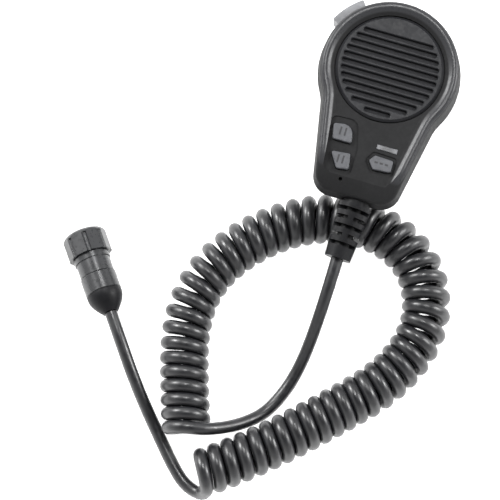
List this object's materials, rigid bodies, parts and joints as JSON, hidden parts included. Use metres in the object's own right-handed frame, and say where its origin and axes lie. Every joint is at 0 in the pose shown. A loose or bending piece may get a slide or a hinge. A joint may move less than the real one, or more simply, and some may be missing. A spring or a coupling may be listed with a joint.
{
  "type": "hand microphone",
  "caption": "Hand microphone with a round slotted speaker, push-to-talk key and panel keys, and a curly cord that ends in a round plug with a coupling nut.",
  "frame": {"origin": "on the surface that it lies on, under the middle of the casing's outline seen from above (the cord and plug are left out)", "axes": "+Z out of the speaker face, +Y along the casing from the cord end to the speaker end"},
  "size_m": [0.1719, 0.2309, 0.044],
  "materials": {
    "case_plastic": "fine moulded texture, satin",
    "grille_plastic": "moulded, satin",
    "key_rubber": "grey silicone, matt",
    "ptt_plastic": "light grey, satin",
    "legend_plastic": "light grey, smooth",
    "cord_jacket": "black jacket, semi-gloss",
    "soft_rubber": "black, matt",
    "dome_rubber": "translucent grey, matt",
    "steel": "zinc plated",
    "nickel": "nickel plated, polished",
    "plug_metal": "dark nickel plated, glossy",
    "brass": "bright",
    "magnet": "grey zinc plate",
    "cone_film": "thin film, matt",
    "cloth": "woven dust cloth, black",
    "circuit_board": "green solder mask",
    "chip_plastic": "black moulding",
    "connector_plastic": "natural nylon",
    "wire_plastic": "insulation"
  },
  "bodies": {
    "case": {"board_chips": "chip_plastic", "board_link": "connector_plastic", "cable_tie": "connector_plastic", "case_gasket": "soft_rubber", "case_screws": "steel", "curly_cord": "cord_jacket", "down_dome": "dome_rubber", "front_shell": "case_plastic", "grille_cloth": "cloth", "hanger_stud": "nickel", "inner_lead": "cord_jacket", "key_board": "circuit_board", "key_board_screws": "steel", "key_contacts": "brass", "key_membrane": "dome_rubber", "lead_connector": "connector_plastic", "lead_wires": "wire_plastic", "legend_bar": "legend_plastic", "main_board": "circuit_board", "main_board_screws": "steel", "menu_dome": "dome_rubber", "mic_boot": "soft_rubber", "mic_capsule": "steel", "mic_lead": "cord_jacket", "plug_backshell": "plug_metal", "plug_barrel": "plug_metal", "plug_contacts": "brass", "plug_gland": "soft_rubber", "plug_insert": "chip_plastic", "plug_lead": "cord_jacket", "plug_seal": "soft_rubber", "plug_wires": "wire_plastic", "ptt_pin": "steel", "ptt_switch": "chip_plastic", "rear_shell": "case_plastic", "speaker_cone": "cone_film", "speaker_frame": "steel", "speaker_gasket": "soft_rubber", "speaker_grille": "grille_plastic", "speaker_magnet": "magnet", "strain_relief": "soft_rubber", "stud_screw": "steel", "up_dome": "dome_rubber"},
    "ptt": {"ptt_key": "ptt_plastic", "ptt_spring": "steel"},
    "up_button": {"up_key": "key_rubber"},
    "down_button": {"down_key": "key_rubber"},
    "menu_button": {"menu_key": "key_rubber"},
    "coupling_nut": {"plug_nut": "plug_metal"}
  },
  "joints": [
    {"name": "ptt_press", "type": "hinge", "parent": "case", "child": "ptt", "pos_m": [-0.01781, 0.03546, 0.0327], "axis": [0, 0, 1], "range_deg": [0, 5], "stiffness_Nm_per_rad": 0.25, "springref_deg": -4.58},
    {"name": "up_press", "type": "slide", "parent": "case", "child": "up_button", "axis": [0, 0, -1], "range_m": [0, 0.0008], "stiffness_N_per_m": 1200, "springref_m": -0.0006, "deforming": ["up_dome"]},
    {"name": "down_press", "type": "slide", "parent": "case", "child": "down_button", "axis": [0, 0, -1], "range_m": [0, 0.0008], "stiffness_N_per_m": 1200, "springref_m": -0.0006, "deforming": ["down_dome"]},
    {"name": "menu_press", "type": "slide", "parent": "case", "child": "menu_button", "axis": [0, 0, -1], "range_m": [0, 0.0008], "stiffness_N_per_m": 1200, "springref_m": -0.0006, "deforming": ["menu_dome"]},
    {"name": "nut_turn", "type": "hinge", "parent": "case", "child": "coupling_nut", "pos_m": [-0.10979, -0.0873, 0.00953], "axis": [0.5722, -0.8082, 0.1392], "continuous": true}
  ]
}
